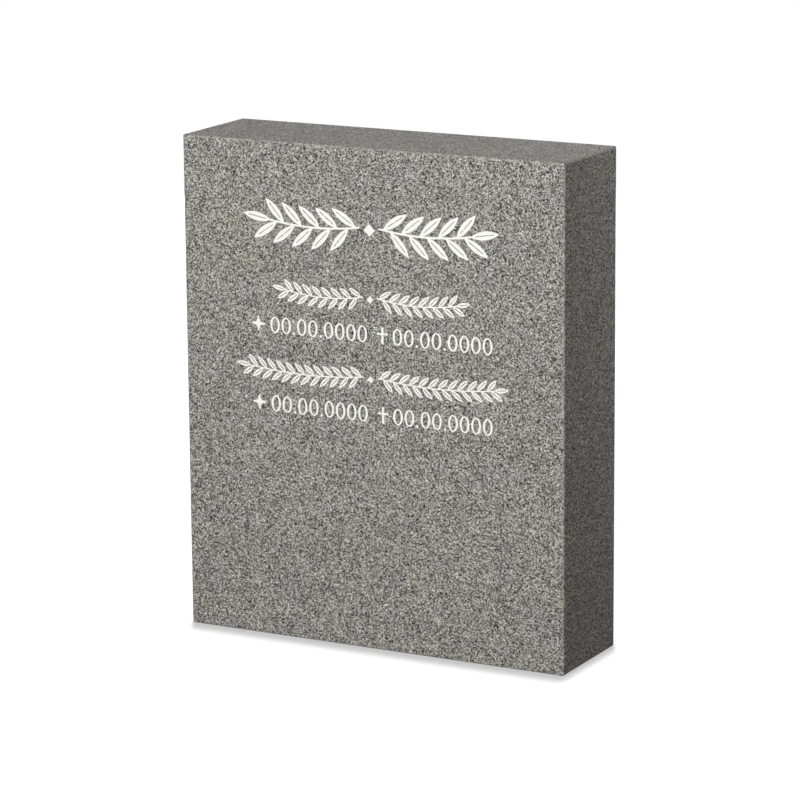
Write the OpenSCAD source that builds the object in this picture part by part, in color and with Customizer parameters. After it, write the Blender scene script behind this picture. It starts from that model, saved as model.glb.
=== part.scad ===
// Upright granite memorial stone with an inscribed front.
// The stone stands on the XY plane, centred on the origin, with its inscribed face towards -Y.
// Lengths are in millimetres. The marks are drawn in a plane (x across, y up) and then set on the face.

/* [Stone] */
// Width of the stone across its face
stone_w = 500; // [410:1:800]
// Thickness of the stone from front to back
stone_d = 140; // [100:1:220]
// Height of the stone
stone_h = 600; // [480:1:1000]
// Radius of the eased arris along every edge of the stone
arris_r = 3; // [1:0.5:8]

/* [Dowel holes in the underside] */
// Diameter of each dowel hole
dowel_hole_d = 18; // [12:0.5:30]
// Depth of each dowel hole
dowel_hole_depth = 100; // [50:1:150]
// Distance between the two dowel holes, centre to centre
dowel_spacing = 300; // [100:1:360]

/* [Cut and paint] */
// Depth of the recess that each mark is cut to
cut_depth = 1.6; // [1.2:0.1:4]
// Thickness of the paint on the floor of the recess
paint_t = 1.2; // [0.4:0.1:1.2]

/* [Family band] */
// Distance from the top of the stone to the middle of the family band
family_drop = 96; // [60:1:120]
// Width of the family band
family_w = 340; // [240:1:380]
// Height of the family band across its leaves
family_h = 56; // [40:1:70]
// Space between the middle of the family band and the start of each of its sprigs
family_sprig_start = 13; // [11:0.5:24]
// Width of the lozenge in the middle of the family band
family_lozenge_w = 15; // [8:0.5:18]
// Spacing of the leaves along the family sprigs
family_leaf_pitch = 20; // [16:0.5:30]
// Width of a leaf in the family band
family_leaf_w = 10.5; // [6:0.5:11]
// Thickness of the stem in the family band
family_stem_t = 2.4; // [1.2:0.1:4]

/* [Name bands] */
// Distance from the top of the stone to the middle of the first name band
name_drop = 178; // [160:1:220]
// Distance from the first entry, a name band and its dates, down to the second
entry_pitch = 95; // [76:1:130]
// Width of the first name band
name_1_w = 264; // [180:1:380]
// Width of the second name band
name_2_w = 362; // [180:1:380]
// Height of a name band across its leaves
name_h = 31; // [24:1:40]
// Space between the middle of a name band and the start of each of its sprigs
name_sprig_start = 9; // [8:0.5:16]
// Width of the lozenge in the middle of a name band
name_lozenge_w = 9; // [5:0.5:12]
// Spacing of the leaves along the name sprigs
name_leaf_pitch = 12; // [10:0.5:20]
// Width of a leaf in the name bands
name_leaf_w = 6.2; // [4:0.1:6.6]
// Thickness of the stem in the name bands
name_stem_t = 1.6; // [1:0.1:2.4]

/* [Sprig shape] */
// Angle between a leaf and the stem
leaf_angle = 42; // [36:1:50]
// Rise of the stem from the middle of its length to its ends
stem_bow = 5; // [3:0.5:8]
// Width of the line of bare stone along the middle of each leaf
leaf_rib_w = 0.8; // [0.6:0.1:1.2]

/* [Date rows] */
// Distance from the middle of a name band down to the middle of its date row
date_drop = 41; // [36:0.5:50]
// Height of a numeral
numeral_h = 20; // [14:0.5:22]
// Width of a numeral
numeral_w = 13; // [9:0.1:16]
// Width of the upright strokes of a numeral
numeral_side_t = 3; // [1.5:0.1:3.8]
// Width of a numeral's strokes at its top and bottom
numeral_end_t = 1.7; // [0.8:0.1:2.5]
// Space between two numerals
numeral_gap = 2; // [1.5:0.1:3]
// Diameter of the point between two parts of a date
point_d = 3.4; // [2:0.1:4]
// Space on each side of a point
point_gap = 2.3; // [1.5:0.1:3]
// Size of the birth star from point to point
star_w = 18.2; // [12:0.1:24]
// Width of the star's points where they would meet at its centre
star_root_w = 5.8; // [4:0.1:8]
// Width of the blunt ends of the star's points
star_tip_w = 1.4; // [0.8:0.1:2]
// Width of the square body behind the star's points
star_body_w = 6.2; // [5:0.1:8]
// Height of the cross
cross_h = 20; // [14:0.1:24]
// Width of the cross
cross_w = 14.4; // [10:0.1:16]
// Width of the cross's upright at the crossing
cross_upright_t = 2.8; // [1.5:0.1:4]
// Width of the cross's upright at its ends
cross_upright_end_t = 3.5; // [1.5:0.1:5]
// Width of the crossbar at the crossing
crossbar_t = 2; // [1.5:0.1:4]
// Width of the crossbar at its ends
crossbar_end_t = 2.6; // [1.5:0.1:4]
// Space between the star and the birth date
star_gap = 7; // [5:0.5:12]
// Space between the birth date and the cross
cross_gap_before = 13; // [6:0.5:16]
// Space between the cross and the date of death
cross_gap_after = 6; // [5:0.5:10]

/* [Hidden] */
$fn = 64;

granite_colour = [0.53, 0.53, 0.51];
paint_colour = [0.97, 0.96, 0.94];

// How far a cutting shape runs past the surface that it cuts
overrun = 1;
// Share of a leaf's length where its bare rib starts and ends
rib_from = 0.2;
rib_to = 0.8;
// How far before the end of its pitch each leaf of a pair grows, as a share of the pitch
upper_leaf_at = 0.8;
lower_leaf_at = 0.4;
// Height of the middle of the crossbar, as a share of the cross's height
crossbar_at = 0.6;
// A date is two numerals, a point, two numerals, a point and four numerals
DATE = ["0", "0", ".", "0", "0", ".", "0", "0", "0", "0"];

function mark_w(mark) = mark == "." ? point_d : numeral_w;
function mark_gap(a, b) = (a == "." || b == ".") ? point_gap : numeral_gap;
// Left edge of mark i of a date whose first mark starts at x = 0
function mark_x(i) = i == 0 ? 0 : mark_x(i - 1) + mark_w(DATE[i - 1]) + mark_gap(DATE[i - 1], DATE[i]);

date_w = mark_x(len(DATE) - 1) + numeral_w;
row_w = star_w + star_gap + date_w + cross_gap_before + cross_w + cross_gap_after + date_w;
star_x = -row_w / 2 + star_w / 2;
birth_x = -row_w / 2 + star_w + star_gap;
cross_x = birth_x + date_w + cross_gap_before + cross_w / 2;
death_x = row_w / 2 - date_w;

family_z = stone_h - family_drop;
name_1_z = stone_h - name_drop;
name_2_z = name_1_z - entry_pitch;
date_1_z = name_1_z - date_drop;
date_2_z = name_2_z - date_drop;

face_y = -stone_d / 2;
recess_y = face_y + cut_depth;

// A rectangle with rounded corners, centred on the origin
module rounded_rectangle(w, h, r) {
  union() {
    square([w - 2 * r, h], center = true);
    square([w, h - 2 * r], center = true);
    for (i = [-1, 1], j = [-1, 1])
      translate([i * (w / 2 - r), j * (h / 2 - r)]) circle(r = r);
  }
}

// The block before anything is cut into it: one rounded outline seen along each axis
module eased_block() {
  intersection() {
    linear_extrude(height = stone_h) rounded_rectangle(stone_w, stone_d, arris_r);
    translate([0, stone_d / 2, stone_h / 2]) rotate([90, 0, 0])
      linear_extrude(height = stone_d) rounded_rectangle(stone_w, stone_h, arris_r);
    translate([-stone_w / 2, 0, stone_h / 2]) rotate([90, 0, 90])
      linear_extrude(height = stone_w) rounded_rectangle(stone_d, stone_h, arris_r);
  }
}

module dowel_hole(x) {
  translate([x, 0, -overrun]) cylinder(d = dowel_hole_d, h = dowel_hole_depth + overrun);
}

// A pointed leaf that grows from the origin along +X, with a bare line along its middle
module leaf(length, width) {
  r = (length * length / 4 + width * width / 4) / width;
  difference() {
    intersection() {
      translate([length / 2, r - width / 2]) circle(r = r);
      translate([length / 2, width / 2 - r]) circle(r = r);
    }
    translate([length * rib_from, -leaf_rib_w / 2]) square([length * (rib_to - rib_from), leaf_rib_w]);
  }
}

// One sprig that grows along +X from the origin. Its stem bows by stem_bow, a pair of leaves stands
// at every pitch, and one leaf ends it. The leaves reach about height / 2 above and below y = 0.
module sprig(length, height, pitch, leaf_w, stem_t) {
  leaf_l = (height - stem_bow) / 2 / sin(leaf_angle);
  stem_l = length - leaf_l;
  stem_r = stem_l * stem_l / 8 / stem_bow + stem_bow / 2;
  half_turn = asin(stem_l / 2 / stem_r);
  centre_y = stem_r - stem_bow / 2;
  leaf_pairs = floor(stem_l / pitch);
  turn = 2 * half_turn / leaf_pairs;

  intersection() {
    translate([stem_l / 2, centre_y]) difference() {
      circle(r = stem_r + stem_t / 2);
      circle(r = stem_r - stem_t / 2);
    }
    translate([0, -height / 2]) square([stem_l, height]);
  }
  translate([stem_l / 2, centre_y]) {
    for (i = [1 : leaf_pairs]) {
      rotate(-half_turn + turn * (i - upper_leaf_at))
        translate([0, -stem_r]) rotate(leaf_angle) leaf(leaf_l, leaf_w);
      rotate(-half_turn + turn * (i - lower_leaf_at))
        translate([0, -stem_r]) rotate(-leaf_angle) leaf(leaf_l, leaf_w);
    }
    rotate(half_turn) translate([-stem_t / 2, -stem_r]) leaf(leaf_l, leaf_w);
  }
}

module lozenge(width) {
  rotate(45) square(width / sqrt(2), center = true);
}

// A nought whose strokes are wide at the sides and narrow at the ends
module nought() {
  translate([numeral_w / 2, 0]) difference() {
    scale([numeral_w / 2, numeral_h / 2]) circle(r = 1);
    scale([numeral_w / 2 - numeral_side_t, numeral_h / 2 - numeral_end_t]) circle(r = 1);
  }
}

module point() {
  translate([point_d / 2, (point_d - numeral_h) / 2]) circle(d = point_d);
}

module date() {
  for (i = [0 : len(DATE) - 1])
    translate([mark_x(i), 0]) {
      if (DATE[i] == ".") point();
      else nought();
    }
}

// An arm that runs from the origin out along +X, from one width to another
module arm(length, root_w, end_w) {
  polygon([[0, -root_w / 2], [length, -end_w / 2], [length, end_w / 2], [0, root_w / 2]]);
}

// A star with four long points, and a square body whose corners show between them
module star() {
  square(star_body_w, center = true);
  for (i = [0 : 3]) rotate(90 * i) arm(star_w / 2, star_root_w, star_tip_w);
}

// A cross whose arms grow wider towards their ends
module cross() {
  up = cross_h * (1 - crossbar_at);
  down = cross_h * crossbar_at;
  translate([0, down - cross_h / 2]) {
    square([cross_upright_t, crossbar_t], center = true);
    for (side = [0, 180]) rotate(side) arm(cross_w / 2, crossbar_t, crossbar_end_t);
    rotate(90) arm(up, cross_upright_t, cross_upright_end_t);
    rotate(-90) arm(down, cross_upright_t, cross_upright_end_t);
  }
}

// The sprig of the family band on one side: -1 for left, 1 for right
module family_sprig(side) {
  translate([side * family_sprig_start, family_z]) mirror([side < 0 ? 1 : 0, 0])
    sprig(family_w / 2 - family_sprig_start, family_h, family_leaf_pitch, family_leaf_w, family_stem_t);
}

module family_middle() {
  translate([0, family_z]) lozenge(family_lozenge_w);
}

// The sprig of a name band on one side: -1 for left, 1 for right
module name_sprig(side, width, z) {
  translate([side * name_sprig_start, z]) mirror([side < 0 ? 1 : 0, 0])
    sprig(width / 2 - name_sprig_start, name_h, name_leaf_pitch, name_leaf_w, name_stem_t);
}

module name_middle(z) {
  translate([0, z]) lozenge(name_lozenge_w);
}

// Everything in the family band, as one outline
module family_band() {
  for (side = [-1, 1]) family_sprig(side);
  family_middle();
}

// Everything in a name band, as one outline
module name_band(width, z) {
  for (side = [-1, 1]) name_sprig(side, width, z);
  name_middle(z);
}

// Everything in a date row, as one outline
module date_row(z) {
  translate([star_x, z]) star();
  translate([birth_x, z]) date();
  translate([cross_x, z]) cross();
  translate([death_x, z]) date();
}

// Sets an outline on the front face, from the floor of the recess outwards
module on_recess_floor(thickness) {
  translate([0, recess_y, 0]) rotate([90, 0, 0]) linear_extrude(height = thickness) children();
}

module paint() {
  color(paint_colour) on_recess_floor(paint_t) children();
}

module stone() {
  color(granite_colour) difference() {
    eased_block();
    dowel_hole(-dowel_spacing / 2);
    dowel_hole(dowel_spacing / 2);
    on_recess_floor(cut_depth + overrun) {
      family_band();
      name_band(name_1_w, name_1_z);
      name_band(name_2_w, name_2_z);
      date_row(date_1_z);
      date_row(date_2_z);
    }
  }
}

module family_sprig_left() { paint() family_sprig(-1); }
module family_lozenge() { paint() family_middle(); }
module family_sprig_right() { paint() family_sprig(1); }

module first_name_sprig_left() { paint() name_sprig(-1, name_1_w, name_1_z); }
module first_name_lozenge() { paint() name_middle(name_1_z); }
module first_name_sprig_right() { paint() name_sprig(1, name_1_w, name_1_z); }
module first_birth_star() { paint() translate([star_x, date_1_z]) star(); }
module first_birth_date() { paint() translate([birth_x, date_1_z]) date(); }
module first_cross() { paint() translate([cross_x, date_1_z]) cross(); }
module first_death_date() { paint() translate([death_x, date_1_z]) date(); }

module second_name_sprig_left() { paint() name_sprig(-1, name_2_w, name_2_z); }
module second_name_lozenge() { paint() name_middle(name_2_z); }
module second_name_sprig_right() { paint() name_sprig(1, name_2_w, name_2_z); }
module second_birth_star() { paint() translate([star_x, date_2_z]) star(); }
module second_birth_date() { paint() translate([birth_x, date_2_z]) date(); }
module second_cross() { paint() translate([cross_x, date_2_z]) cross(); }
module second_death_date() { paint() translate([death_x, date_2_z]) date(); }

stone();
family_sprig_left();
family_lozenge();
family_sprig_right();
first_name_sprig_left();
first_name_lozenge();
first_name_sprig_right();
first_birth_star();
first_birth_date();
first_cross();
first_death_date();
second_name_sprig_left();
second_name_lozenge();
second_name_sprig_right();
second_birth_star();
second_birth_date();
second_cross();
second_death_date();
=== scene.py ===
"""A granite memorial stone: the finish of its stone and paint, plain studio light, and the camera.

Every length is in metres. The stone stands on the floor at z = 0 with its inscribed face towards -Y.
"""
import math

import bpy
from mathutils import Matrix, Vector


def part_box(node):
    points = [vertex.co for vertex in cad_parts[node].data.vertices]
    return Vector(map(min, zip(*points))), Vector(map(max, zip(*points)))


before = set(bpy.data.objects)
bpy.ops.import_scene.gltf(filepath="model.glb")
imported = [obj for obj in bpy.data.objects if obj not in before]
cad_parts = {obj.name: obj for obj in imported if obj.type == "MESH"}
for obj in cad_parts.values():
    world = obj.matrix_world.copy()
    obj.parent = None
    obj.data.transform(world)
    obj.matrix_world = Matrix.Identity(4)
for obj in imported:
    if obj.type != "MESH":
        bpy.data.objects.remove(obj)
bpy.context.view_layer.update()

STONE_LOW, STONE_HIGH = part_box("stone")
STONE_SIZE = STONE_HIGH - STONE_LOW
STONE_MIDDLE = (STONE_LOW + STONE_HIGH) / 2
PAINT_NODES = [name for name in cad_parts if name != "stone"]

# Camera: a long lens, a little above the stone and to the right of its face. The two aims move it
# sideways and up without turning it.
CAMERA_AZIMUTH = math.radians(28.08)
CAMERA_ELEVATION = math.radians(12.93)
CAMERA_ROLL = math.radians(-0.44)
CAMERA_DISTANCE = 4.422
CAMERA_LENS = 168.0
CAMERA_SENSOR = 36
CAMERA_AIM_SIDE = 0.0013
CAMERA_AIM_UP = -0.0112
CAMERA_REACH = 100

# Light: how bright each soft box makes a white surface that faces it, and where it stands.
# Azimuth 0 is straight in front of the face, and grows to the right.
PLAIN_LIGHT = (1.0, 1.0, 1.0)
WARM_LIGHT = (1.0, 0.972, 0.978)
LAMPS = (
    # name, colour, level, azimuth, elevation, distance, size
    ("key", PLAIN_LIGHT, 0.885, 2, 21, 2.6, 0.9),
    ("side", WARM_LIGHT, 0.285, 129, 24, 0.75, 0.8),
    ("rear", WARM_LIGHT, 0.34, -155, 10, 3.0, 1.6),
)
SKY_LEVEL = 0.22
BACKDROP_LEVEL = 1.0

# Floor: the colour of the light that it bounces, and what the eye sees, which is part lit and part glow
FLOOR_HALF_WIDTH = 6.0
FLOOR_BOUNCE = (0.08, 0.0778, 0.0781, 1)
FLOOR_WHITE = (0.3, 0.3, 0.3, 1)
FLOOR_GLOW = 0.94

# Contact shade: how light the floor stays at its darkest, how far the shade drifts to the right for
# each metre that it comes forward, and how far beyond each side of the stone it starts to fade and
# ends. Less than 0 is under the stone.
CONTACT_SHADE = 0.505
CONTACT_DRIFT = 0.53
CONTACT_FADES = {
    "front": (0.0035, 0.0425),
    "right": (-0.0016, 0.0214),
    "left": (-0.0055, 0.0065),
    "back": (-0.0085, 0.011),
}

# Noise: nearly all of it lies within the spread, and a tighter range gives patches with firmer edges
NOISE_MIDDLE = (0.5, 0.5, 0.5)
NOISE_SPREAD = (0.3, 0.7)
NOISE_PATCHES = (0.35, 0.65)
NOISE_ROUGHNESS = 0.5

# Crystals: the noise that makes their outlines wander
OUTLINE_DETAIL = 1.0
OUTLINE_ROUGHNESS = 0.6

# Granite ground: crystal size, how far an outline wanders as a share of that size, the colours that
# a crystal's random shade picks from, and the patches that tint them
GROUND_CRYSTAL = 0.00135
GROUND_RAGGEDNESS = 0.9
GROUND_COLOURS = (
    (0.00, (0.095, 0.095, 0.088, 1)),
    (0.35, (0.228, 0.227, 0.207, 1)),
    (0.62, (0.378, 0.376, 0.343, 1)),
    (0.85, (0.525, 0.522, 0.477, 1)),
    (1.00, (0.715, 0.710, 0.649, 1)),
)
PATCH_SIZE = 0.02
PATCH_DETAIL = 2.0
PATCH_GREEN = (0.998, 1.008, 0.945, 1)
PATCH_BLUE = (1.002, 0.995, 1.034, 1)

# Mica: a second set of crystals, where those whose random shade is above these two values are flakes
MICA_FLAKE = 0.00118
MICA_RAGGEDNESS = 1.1
MICA_SHADES = (0.77, 0.81)
MICA_COLOUR = (0.018, 0.018, 0.0175, 1)

# Clouds and grit: their size, and how much darker and lighter they make the stone
CLOUD_SIZE = 0.022
CLOUD_DETAIL = 3.0
CLOUD_SHADES = (0.925, 1.075)
GRIT_SIZE = 0.00045
GRIT_DETAIL = 1.0
GRIT_SHADES = (0.86, 1.14)

# Arrises: how far a paler bruise, which is partly a painted highlight, reaches from the edge, its mean
# strength, and the size of its chips
ARRIS_REACH = 0.003
ARRIS_BRUISE_AND_HIGHLIGHT = 0.55
CHIP_SIZE = 0.003
CHIP_DETAIL = 1.0
BRUISE_AND_HIGHLIGHT_COLOUR = (0.5, 0.497, 0.455, 1)

# Honed surface of the stone: its gloss, and the slight dome of each crystal, with the share of the
# crystal's size over which it falls, how strongly it shows, and its height
STONE_GLOSS = 0.08
STONE_ROUGHNESS = 0.78
MICA_ROUGHNESS = 0.6
CRYSTAL_DOME = (0.1, 0.6)
CRYSTAL_RELIEF = 0.25
CRYSTAL_HEIGHT = 0.00015

# Paint: thin and full coats, and the pebbled floor that shows through them
MOTTLE_SIZE = 0.008
MOTTLE_DETAIL = 3.0
PAINT_THIN = (0.890, 0.878, 0.838, 1)
PAINT_FULL = (0.935, 0.925, 0.889, 1)
PAINT_THIN_ROUGHNESS = 0.62
PAINT_FULL_ROUGHNESS = 0.5
PAINT_GLOSS = 0.3
PEBBLE_SIZE = 0.0011
PEBBLE_RAGGEDNESS = 0.5
PEBBLE_DOME = (0.0, 0.7)
PEBBLE_RELIEF = 0.3
PEBBLE_HEIGHT = 0.0002

# The colour sockets of a Mix node go by number, because they share their names with others
MIX_FACTOR, MIX_A, MIX_B, MIX_RESULT = 0, 6, 7, 2


def direction(azimuth, elevation):
    """The unit vector from the stone towards a lamp or the camera."""
    return Vector((
        math.sin(azimuth) * math.cos(elevation),
        -math.cos(azimuth) * math.cos(elevation),
        math.sin(elevation),
    ))


def place_camera():
    """Aims the camera at the middle of the stone, from its azimuth and elevation."""
    back = direction(CAMERA_AZIMUTH, CAMERA_ELEVATION)
    level = Vector((0, 0, 1)).cross(back).normalized()
    upright = back.cross(level)
    right = level * math.cos(CAMERA_ROLL) + upright * math.sin(CAMERA_ROLL)
    up = upright * math.cos(CAMERA_ROLL) - level * math.sin(CAMERA_ROLL)
    place = STONE_MIDDLE + back * CAMERA_DISTANCE + right * CAMERA_AIM_SIDE + up * CAMERA_AIM_UP
    data = bpy.data.cameras.new("camera")
    data.lens = CAMERA_LENS
    data.sensor_width = CAMERA_SENSOR
    data.clip_end = CAMERA_REACH
    camera = bpy.data.objects.new("camera", data)
    camera.matrix_world = Matrix((
        (right.x, up.x, back.x, place.x),
        (right.y, up.y, back.y, place.y),
        (right.z, up.z, back.z, place.z),
        (0, 0, 0, 1),
    ))
    bpy.context.scene.collection.objects.link(camera)
    bpy.context.scene.camera = camera


def soft_box(name, colour, level, azimuth, elevation, distance, size):
    """A square lamp that faces the stone and lights a white surface there to the level."""
    towards = direction(math.radians(azimuth), math.radians(elevation))
    data = bpy.data.lights.new(name, "AREA")
    data.shape = "SQUARE"
    data.size = size
    data.color = colour
    data.energy = level * math.pi ** 2 * distance ** 2
    lamp = bpy.data.objects.new(name, data)
    lamp.location = STONE_MIDDLE + towards * distance
    lamp.rotation_mode = "QUATERNION"
    lamp.rotation_quaternion = towards.to_track_quat("Z", "Y")
    lamp.visible_camera = False
    bpy.context.scene.collection.objects.link(lamp)


def add(tree, kind, values=None, **settings):
    """Adds a node, sets its settings, and sets its inputs by name or number."""
    node = tree.nodes.new(kind)
    for name, value in settings.items():
        setattr(node, name, value)
    for name, value in (values or {}).items():
        node.inputs[name].default_value = value
    return node


def give(tree, socket, value):
    """Gives an input a value, or links it to the socket that puts one out."""
    if isinstance(value, bpy.types.NodeSocket):
        tree.links.new(value, socket)
    else:
        socket.default_value = value


def math_node(tree, operation, *values, clamp=False):
    """A Math node on one or two values or sockets; returns its output."""
    node = add(tree, "ShaderNodeMath", operation=operation, use_clamp=clamp)
    for socket, value in zip(node.inputs, values):
        give(tree, socket, value)
    return node.outputs["Value"]


def vector_node(tree, operation, *values):
    """A Vector Math node on one or two vectors or sockets; returns its output."""
    node = add(tree, "ShaderNodeVectorMath", operation=operation)
    for socket, value in zip(node.inputs, values):
        give(tree, socket, value)
    return node.outputs["Vector"]


def split_vector(tree, vector):
    """The three parts of a vector."""
    node = add(tree, "ShaderNodeSeparateXYZ")
    tree.links.new(vector, node.inputs["Vector"])
    return node.outputs


def map_range(tree, value, low, high, to_low=0.0, to_high=1.0, smooth=False):
    """Maps a value from one range to another, held at the ends."""
    node = add(tree, "ShaderNodeMapRange", {
        "From Min": low, "From Max": high, "To Min": to_low, "To Max": to_high,
    }, interpolation_type="SMOOTHSTEP" if smooth else "LINEAR")
    tree.links.new(value, node.inputs["Value"])
    return node.outputs["Result"]


def mix_colour(tree, factor, a, b, blend="MIX"):
    """Mixes two colours; each of the three may be a value or a socket."""
    node = add(tree, "ShaderNodeMix", data_type="RGBA", blend_type=blend)
    for number, value in ((MIX_FACTOR, factor), (MIX_A, a), (MIX_B, b)):
        give(tree, node.inputs[number], value)
    return node.outputs[MIX_RESULT]


def multiply_colour(tree, colour, by):
    """Darkens, lightens or tints a colour."""
    return mix_colour(tree, 1.0, colour, by, "MULTIPLY")


def colour_ramp(tree, value, stops):
    """A ramp through (position, colour) stops; returns its colour."""
    node = add(tree, "ShaderNodeValToRGB")
    elements = node.color_ramp.elements
    elements[0].position, elements[0].color = stops[0]
    elements[1].position, elements[1].color = stops[-1]
    for position, colour in stops[1:-1]:
        elements.new(position).color = colour
    tree.links.new(value, node.inputs["Fac"])
    return node.outputs["Color"]


def object_place(tree):
    """The place of a point of the surface, in the piece's own metres."""
    return add(tree, "ShaderNodeTexCoord").outputs["Object"]


def noise(tree, place, size, detail):
    """Soft noise from 0 to 1 whose lumps are about as wide as size."""
    node = add(tree, "ShaderNodeTexNoise", {
        "Scale": 1 / size, "Detail": detail, "Roughness": NOISE_ROUGHNESS,
    })
    tree.links.new(place, node.inputs["Vector"])
    return node.outputs["Fac"]


def raise_surface(tree, shader, shape, relief, height):
    """Gives a shader a bump: its shape, how strongly it shows, and how high a shape of 1 is."""
    node = add(tree, "ShaderNodeBump", {"Strength": relief, "Distance": height})
    tree.links.new(shape, node.inputs["Height"])
    tree.links.new(node.outputs["Normal"], shader.inputs["Normal"])


def seen_rays(tree):
    """1 for rays that show the background: from the camera, off a gloss or through glass."""
    path = add(tree, "ShaderNodeLightPath")
    shown = math_node(tree, "ADD", path.outputs["Is Camera Ray"], path.outputs["Is Glossy Ray"])
    return math_node(tree, "ADD", shown, path.outputs["Is Transmission Ray"], clamp=True)


def make_world():
    """A white backdrop that lights the stone only as much as a soft studio would."""
    world = bpy.data.worlds.new("studio")
    world.use_nodes = True
    tree = world.node_tree
    sky = tuple(SKY_LEVEL * part for part in WARM_LIGHT) + (1,)
    backdrop = (BACKDROP_LEVEL,) * 3 + (1,)
    colour = mix_colour(tree, seen_rays(tree), sky, backdrop)
    tree.links.new(colour, tree.nodes["Background"].inputs["Color"])
    bpy.context.scene.world = world


def drifted(tree, outward, across, drift):
    """Moves a side of the shade inwards as it gets away from the stone across that side."""
    away = math_node(tree, "MAXIMUM", across, 0.0)
    return math_node(tree, "ADD", outward, math_node(tree, "MULTIPLY", away, drift))


def distances_outward(tree):
    """How far a point of the floor lies beyond each side of the stone, with the shade's drift."""
    parts = split_vector(tree, object_place(tree))
    front = math_node(tree, "SUBTRACT", STONE_LOW.y, parts["Y"])
    right = math_node(tree, "SUBTRACT", parts["X"], STONE_HIGH.x)
    left = math_node(tree, "SUBTRACT", STONE_LOW.x, parts["X"])
    back = math_node(tree, "SUBTRACT", parts["Y"], STONE_HIGH.y)
    return {
        "front": front,
        "right": right,
        "left": drifted(tree, left, front, CONTACT_DRIFT),
        "back": drifted(tree, back, right, 1 / CONTACT_DRIFT),
    }


def contact_shade(tree):
    """1 on the floor under the stone and 0 out of the shade's reach, with rounded corners."""
    outward = distances_outward(tree)
    squares = 0.0
    for side, (start, end) in CONTACT_FADES.items():
        share = map_range(tree, outward[side], start, end)
        squares = math_node(tree, "ADD", math_node(tree, "MULTIPLY", share, share), squares)
    return map_range(tree, math_node(tree, "SQRT", squares), 0.0, 1.0, 1.0, 0.0, smooth=True)


def shown_floor(tree):
    """The floor as the eye sees it: white, and darker in the contact shade."""
    light = map_range(tree, contact_shade(tree), 0.0, 1.0, 1.0, CONTACT_SHADE)
    glow = add(tree, "ShaderNodeEmission", {"Color": (1, 1, 1, 1)})
    tree.links.new(math_node(tree, "MULTIPLY", light, FLOOR_GLOW), glow.inputs["Strength"])
    white = add(tree, "ShaderNodeBsdfDiffuse")
    tree.links.new(multiply_colour(tree, FLOOR_WHITE, light), white.inputs["Color"])
    both = add(tree, "ShaderNodeAddShader")
    tree.links.new(glow.outputs[0], both.inputs[0])
    tree.links.new(white.outputs[0], both.inputs[1])
    return both.outputs[0]


def floor_material():
    """White to the eye, and dark grey to the light that bounces off it."""
    material = bpy.data.materials.new("studio_floor")
    material.use_nodes = True
    tree = material.node_tree
    tree.nodes.clear()
    bounce = add(tree, "ShaderNodeBsdfDiffuse", {"Color": FLOOR_BOUNCE})
    mix = add(tree, "ShaderNodeMixShader")
    tree.links.new(seen_rays(tree), mix.inputs["Fac"])
    tree.links.new(bounce.outputs[0], mix.inputs[1])
    tree.links.new(shown_floor(tree), mix.inputs[2])
    out = add(tree, "ShaderNodeOutputMaterial")
    tree.links.new(mix.outputs[0], out.inputs["Surface"])
    return material


def make_floor():
    """A wide square floor, which isn't part of the object."""
    mesh = bpy.data.meshes.new("studio_floor")
    w = FLOOR_HALF_WIDTH
    mesh.from_pydata([(-w, -w, 0), (w, -w, 0), (w, w, 0), (-w, w, 0)], [], [(0, 1, 2, 3)])
    mesh.materials.append(floor_material())
    floor = bpy.data.objects.new("studio_floor", mesh)
    bpy.context.scene.collection.objects.link(floor)


def new_group(name, inputs, outputs):
    """An empty shader node group; inputs are (name, type, default) and outputs (name, type)."""
    tree = bpy.data.node_groups.new(name, "ShaderNodeTree")
    for title, kind, default in inputs:
        socket = tree.interface.new_socket(title, in_out="INPUT", socket_type=kind)
        if default is not None:
            socket.default_value = default
    for title, kind in outputs:
        tree.interface.new_socket(title, in_out="OUTPUT", socket_type=kind)
    return tree, add(tree, "NodeGroupInput"), add(tree, "NodeGroupOutput")


def place_group(tree, group, place, **values):
    """Places a node group in a material, with its own values, at the place of each point."""
    node = add(tree, "ShaderNodeGroup", values, node_tree=group)
    tree.links.new(place, node.inputs["Vector"])
    return node


def wandering_place(tree, given, scale):
    """The place of a point, pushed about by noise, so that the crystals interlock."""
    wobble = add(tree, "ShaderNodeTexNoise", {
        "Detail": OUTLINE_DETAIL, "Roughness": OUTLINE_ROUGHNESS,
    })
    tree.links.new(given.outputs["Vector"], wobble.inputs["Vector"])
    tree.links.new(scale, wobble.inputs["Scale"])
    centred = vector_node(tree, "SUBTRACT", wobble.outputs["Color"], NOISE_MIDDLE)
    reach = math_node(tree, "MULTIPLY", given.outputs["Size"], given.outputs["Raggedness"])
    push = add(tree, "ShaderNodeVectorMath", operation="SCALE")
    tree.links.new(centred, push.inputs["Vector"])
    tree.links.new(reach, push.inputs["Scale"])
    return vector_node(tree, "ADD", given.outputs["Vector"], push.outputs["Vector"])


def crystal_group():
    """Interlocking crystals: a random shade for each, and how far a point is from its core."""
    tree, given, out = new_group("crystals", [
        ("Vector", "NodeSocketVector", None),
        ("Size", "NodeSocketFloat", GROUND_CRYSTAL),
        ("Raggedness", "NodeSocketFloat", GROUND_RAGGEDNESS),
    ], [("Shade", "NodeSocketFloat"), ("Core", "NodeSocketFloat")])
    scale = math_node(tree, "DIVIDE", 1.0, given.outputs["Size"])
    cells = add(tree, "ShaderNodeTexVoronoi", feature="F1")
    tree.links.new(wandering_place(tree, given, scale), cells.inputs["Vector"])
    tree.links.new(scale, cells.inputs["Scale"])
    parts = add(tree, "ShaderNodeSeparateColor")
    tree.links.new(cells.outputs["Color"], parts.inputs["Color"])
    tree.links.new(parts.outputs["Red"], out.inputs["Shade"])
    tree.links.new(cells.outputs["Distance"], out.inputs["Core"])
    return tree


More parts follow.
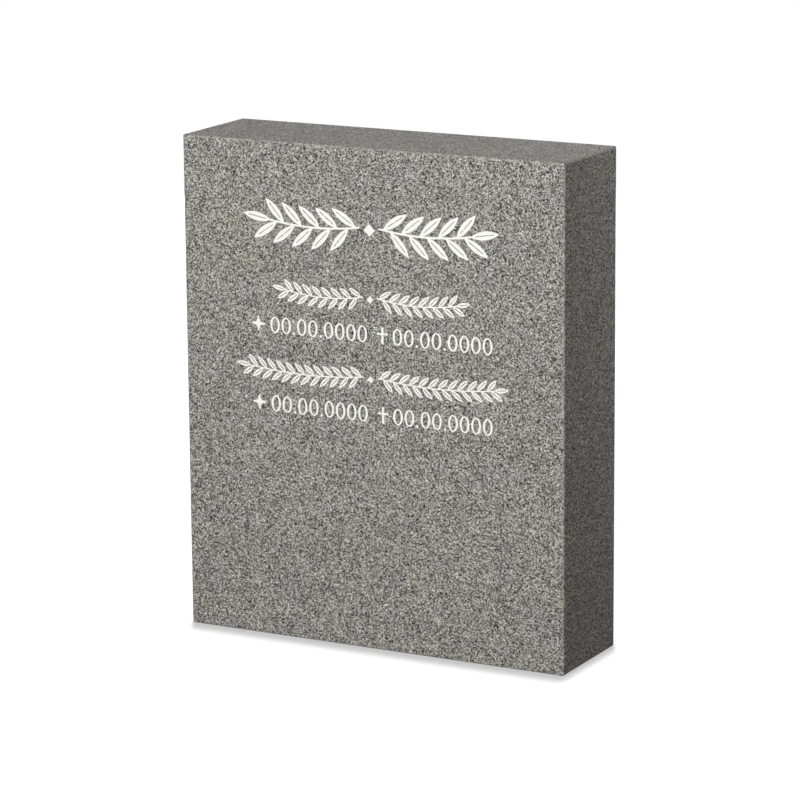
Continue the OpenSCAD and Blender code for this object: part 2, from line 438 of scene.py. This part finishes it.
def arris_group():
    """How near a point of the block is to one of its twelve edges: 1 on the edge, 0 at the reach."""
    tree, given, out = new_group("arris", [
        ("Vector", "NodeSocketVector", None),
        ("Reach", "NodeSocketFloat", ARRIS_REACH),
    ], [("Near", "NodeSocketFloat")])
    centred = vector_node(tree, "SUBTRACT", given.outputs["Vector"], tuple(STONE_MIDDLE))
    mirrored = vector_node(tree, "ABSOLUTE", centred)
    depths = split_vector(tree, vector_node(tree, "SUBTRACT", tuple(STONE_SIZE / 2), mirrored))
    # The middle one of the three depths is the distance from the nearest edge
    lower = math_node(tree, "MINIMUM", depths["X"], depths["Y"])
    upper = math_node(tree, "MAXIMUM", depths["X"], depths["Y"])
    middle = math_node(tree, "MAXIMUM", lower, math_node(tree, "MINIMUM", upper, depths["Z"]))
    share = math_node(tree, "DIVIDE", middle, given.outputs["Reach"])
    tree.links.new(math_node(tree, "SUBTRACT", 1.0, share, clamp=True), out.inputs["Near"])
    return tree


def new_material(name):
    """A new material with nodes; returns it, its node tree and its shader."""
    material = bpy.data.materials.new(name)
    material.use_nodes = True
    return material, material.node_tree, material.node_tree.nodes["Principled BSDF"]


def crystal_colour(tree, place, shade, mica):
    """Pale feldspar and grey quartz in greenish and bluish patches, with black mica among them."""
    colour = colour_ramp(tree, shade, GROUND_COLOURS)
    patches = map_range(tree, noise(tree, place, PATCH_SIZE, PATCH_DETAIL), *NOISE_PATCHES)
    colour = multiply_colour(tree, colour, mix_colour(tree, patches, PATCH_BLUE, PATCH_GREEN))
    return mix_colour(tree, mica, colour, MICA_COLOUR)


def clouded(tree, place, colour):
    """Soft clouds about 2 cm wide, and grit finer than the crystals."""
    clouds = noise(tree, place, CLOUD_SIZE, CLOUD_DETAIL)
    grit = noise(tree, place, GRIT_SIZE, GRIT_DETAIL)
    shade = math_node(
        tree, "MULTIPLY",
        map_range(tree, clouds, *NOISE_SPREAD, *CLOUD_SHADES),
        map_range(tree, grit, *NOISE_SPREAD, *GRIT_SHADES),
    )
    return multiply_colour(tree, colour, shade)


def bruised_and_highlit(tree, place, colour):
    """Paler, finely chipped stone along the arrises: partly real bruising and partly a painted
    highlight on every edge.
    """
    arris = place_group(tree, ARRIS, place, Reach=ARRIS_REACH)
    chips = noise(tree, place, CHIP_SIZE, CHIP_DETAIL)
    strength = map_range(tree, chips, *NOISE_PATCHES, 0.0, 2 * ARRIS_BRUISE_AND_HIGHLIGHT)
    # The paler edge is partly real bruised stone and partly a painted highlight
    bruise_and_highlight = math_node(tree, "MULTIPLY", arris.outputs["Near"], strength)
    return mix_colour(tree, bruise_and_highlight, colour, BRUISE_AND_HIGHLIGHT_COLOUR)


def granite_material():
    """Fine-grained grey granite, honed flat."""
    material, tree, shader = new_material("granite")
    place = object_place(tree)
    ground = place_group(tree, CRYSTALS, place, Size=GROUND_CRYSTAL, Raggedness=GROUND_RAGGEDNESS)
    flakes = place_group(tree, CRYSTALS, place, Size=MICA_FLAKE, Raggedness=MICA_RAGGEDNESS)
    mica = map_range(tree, flakes.outputs["Shade"], *MICA_SHADES)

    colour = crystal_colour(tree, place, ground.outputs["Shade"], mica)
    colour = bruised_and_highlit(tree, place, clouded(tree, place, colour))
    tree.links.new(colour, shader.inputs["Base Color"])
    roughness = map_range(tree, mica, 0.0, 1.0, STONE_ROUGHNESS, MICA_ROUGHNESS)
    tree.links.new(roughness, shader.inputs["Roughness"])
    shader.inputs["Specular IOR Level"].default_value = STONE_GLOSS

    dome = map_range(tree, ground.outputs["Core"], *CRYSTAL_DOME, 1.0, 0.0)
    sunk_flakes = math_node(tree, "SUBTRACT", dome, mica)
    raise_surface(tree, shader, sunk_flakes, CRYSTAL_RELIEF, CRYSTAL_HEIGHT)
    return material


def paint_material():
    """Warm white stone paint, brushed thinly, so that the floor shows through as a fine pebble."""
    material, tree, shader = new_material("inscription_paint")
    place = object_place(tree)
    mottle = map_range(tree, noise(tree, place, MOTTLE_SIZE, MOTTLE_DETAIL), *NOISE_SPREAD)
    tree.links.new(mix_colour(tree, mottle, PAINT_THIN, PAINT_FULL), shader.inputs["Base Color"])
    roughness = map_range(tree, mottle, 0.0, 1.0, PAINT_THIN_ROUGHNESS, PAINT_FULL_ROUGHNESS)
    tree.links.new(roughness, shader.inputs["Roughness"])
    shader.inputs["Specular IOR Level"].default_value = PAINT_GLOSS

    pebble = place_group(tree, CRYSTALS, place, Size=PEBBLE_SIZE, Raggedness=PEBBLE_RAGGEDNESS)
    dome = map_range(tree, pebble.outputs["Core"], *PEBBLE_DOME, 1.0, 0.0, smooth=True)
    raise_surface(tree, shader, dome, PEBBLE_RELIEF, PEBBLE_HEIGHT)
    return material


def dress(node_name, material):
    """Puts one material on every slot of a CAD node."""
    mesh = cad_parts[node_name].data
    if not mesh.materials:
        mesh.materials.append(material)
    for slot in range(len(mesh.materials)):
        mesh.materials[slot] = material


place_camera()
make_world()
for lamp in LAMPS:
    soft_box(*lamp)
make_floor()

CRYSTALS = crystal_group()
ARRIS = arris_group()
dress("stone", granite_material())
paint = paint_material()
for name in PAINT_NODES:
    dress(name, paint)

bpy.context.scene.view_settings.view_transform = "Standard"
